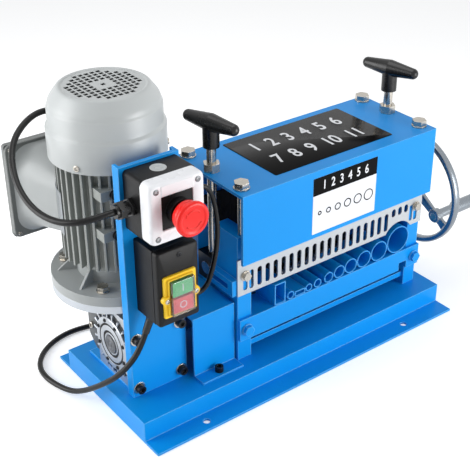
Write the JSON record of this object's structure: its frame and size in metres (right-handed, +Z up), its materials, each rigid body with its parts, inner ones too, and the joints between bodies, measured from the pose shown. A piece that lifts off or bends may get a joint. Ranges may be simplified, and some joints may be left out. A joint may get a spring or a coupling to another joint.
{
  "type": "electric wire stripping machine",
  "caption": "Bench machine that strips cable insulation: motor and worm gearbox drive a feed shaft under guide tubes and slitting discs, set by T-handled screws, with a handwheel.",
  "frame": {"origin": "centre of the base tray's footprint, on the surface that it stands on", "axes": "+X along the machine from the motor to the handwheel, -Y to the front where the cables go in, +Z up"},
  "size_m": [0.69, 0.3667, 0.3999],
  "materials": {
    "blue_paint": "satin",
    "grey_paint": "satin",
    "dark_steel": "satin",
    "bright_steel": "satin",
    "cast_aluminium": "as cast",
    "cast_iron": "rough",
    "hardened_steel": "ground",
    "black_plastic": "matt",
    "white_plastic": "satin",
    "yellow_plastic": "satin",
    "red_plastic": "gloss",
    "green_plastic": "gloss",
    "cord_rubber": "matt",
    "clear_plastic": "clear",
    "vinyl_print": "gloss"
  },
  "bodies": {
    "machine_frame": {"base_tray": "blue_paint", "left_end_plate": "blue_paint", "right_end_plate": "blue_paint", "top_cover": "blue_paint", "cover_bolts": "dark_steel", "adjuster_nuts": "blue_paint", "guide_bar": "blue_paint", "guide_bar_bolts": "dark_steel", "tall_guide_tube": "blue_paint", "flat_guide_tube": "blue_paint", "round_guide_tubes": "blue_paint", "waste_chute": "blue_paint", "guard_bolts": "dark_steel", "motor_plate": "blue_paint", "socket_screws": "dark_steel", "coupling_cover": "blue_paint", "gearbox_housing": "cast_aluminium", "gearbox_side_covers": "cast_aluminium", "flange_bolts": "bright_steel", "motor_end_shield": "grey_paint", "motor_frame": "grey_paint", "fan_cowl": "grey_paint", "terminal_box": "grey_paint", "terminal_box_lid": "grey_paint", "estop_base": "black_plastic", "estop_cover": "white_plastic", "estop_collar": "black_plastic", "switch_box": "black_plastic", "switch_lid": "black_plastic", "switch_faceplate": "yellow_plastic", "panel_screws": "bright_steel", "cable_glands": "black_plastic", "motor_lead": "cord_rubber", "link_lead": "cord_rubber", "mains_lead": "cord_rubber", "mains_coil": "cord_rubber", "mains_plug": "black_plastic", "mains_strain_relief": "black_plastic", "shaft_bearings": "bright_steel"},
    "guard": {"guard_plate": "bright_steel"},
    "feed": {"feed_shaft": "hardened_steel", "feed_rollers": "hardened_steel", "worm_wheel": "cast_iron", "jaw_coupling": "cast_aluminium"},
    "rotor": {"motor_rotor": "hardened_steel", "cooling_fan": "black_plastic"},
    "carriage": {"bearing_blocks": "hardened_steel"},
    "blade_head": {"blade_shaft": "hardened_steel", "blade_discs": "hardened_steel", "handwheel": "cast_aluminium", "crank_pin": "bright_steel"},
    "crank": {"crank_sleeve": "bright_steel"},
    "left_handle": {"left_screw": "bright_steel", "left_t_grip": "black_plastic"},
    "right_handle": {"right_screw": "bright_steel", "right_t_grip": "black_plastic"},
    "estop_stem": {"estop_plunger": "black_plastic"},
    "estop_head": {"estop_cap": "red_plastic"},
    "start_key": {"start_button": "green_plastic"},
    "stop_key": {"stop_button": "red_plastic"}
  },
  "joints": [
    {"name": "motor_spin", "type": "hinge", "parent": "machine_frame", "child": "rotor", "pos_m": [-0.1925, 0.045, 0.25], "axis": [0, 0, 1], "continuous": true},
    {"name": "feed_spin", "type": "hinge", "parent": "machine_frame", "child": "feed", "pos_m": [-0.1, 0.005, 0.082], "axis": [1, 0, 0], "continuous": true},
    {"name": "blade_spin", "type": "hinge", "parent": "carriage", "child": "blade_head", "pos_m": [0.0718, 0.005, 0.138], "axis": [1, 0, 0], "continuous": true},
    {"name": "crank_spin", "type": "hinge", "parent": "blade_head", "child": "crank", "pos_m": [0.33, -0.043, 0.10916], "axis": [1, 0, 0], "continuous": true},
    {"name": "carriage_slide", "type": "slide", "parent": "machine_frame", "child": "carriage", "axis": [0, 0, 1], "range_m": [-0.018, 0.02]},
    {"name": "left_screw_turn", "type": "hinge", "parent": "carriage", "child": "left_handle", "pos_m": [-0.0754, 0.005, 0.25], "axis": [0, 0, 1], "range_deg": [-3703.4, 4114.8]},
    {"name": "right_screw_turn", "type": "hinge", "parent": "carriage", "child": "right_handle", "pos_m": [0.219, 0.005, 0.25], "axis": [0, 0, 1], "range_deg": [-3703.4, 4114.8]},
    {"name": "guard_slide", "type": "slide", "parent": "machine_frame", "child": "guard", "axis": [0, 0, 1], "range_m": [0, 0.018]},
    {"name": "estop_push", "type": "slide", "parent": "machine_frame", "child": "estop_stem", "axis": [0, 1, 0], "range_m": [0, 0.004], "stiffness_N_per_m": 4000, "springref_m": -0.001},
    {"name": "estop_twist", "type": "hinge", "parent": "estop_stem", "child": "estop_head", "pos_m": [-0.191, -0.118, 0.3], "axis": [0, 1, 0], "range_deg": [0, 40], "stiffness_Nm_per_rad": 0.2},
    {"name": "start_push", "type": "slide", "parent": "machine_frame", "child": "start_key", "axis": [0, 1, 0], "range_m": [0, 0.003], "stiffness_N_per_m": 1500, "springref_m": -0.001},
    {"name": "stop_push", "type": "slide", "parent": "machine_frame", "child": "stop_key", "axis": [0, 1, 0], "range_m": [0, 0.003], "stiffness_N_per_m": 1500, "springref_m": -0.001}
  ],
  "couplings": [
    {"joint": "feed_spin", "follows": "motor_spin", "ratio": 0.13333},
    {"joint": "left_screw_turn", "follows": "carriage_slide", "rad_per_m": 3590.4},
    {"joint": "right_screw_turn", "follows": "carriage_slide", "rad_per_m": 3590.4}
  ]
}
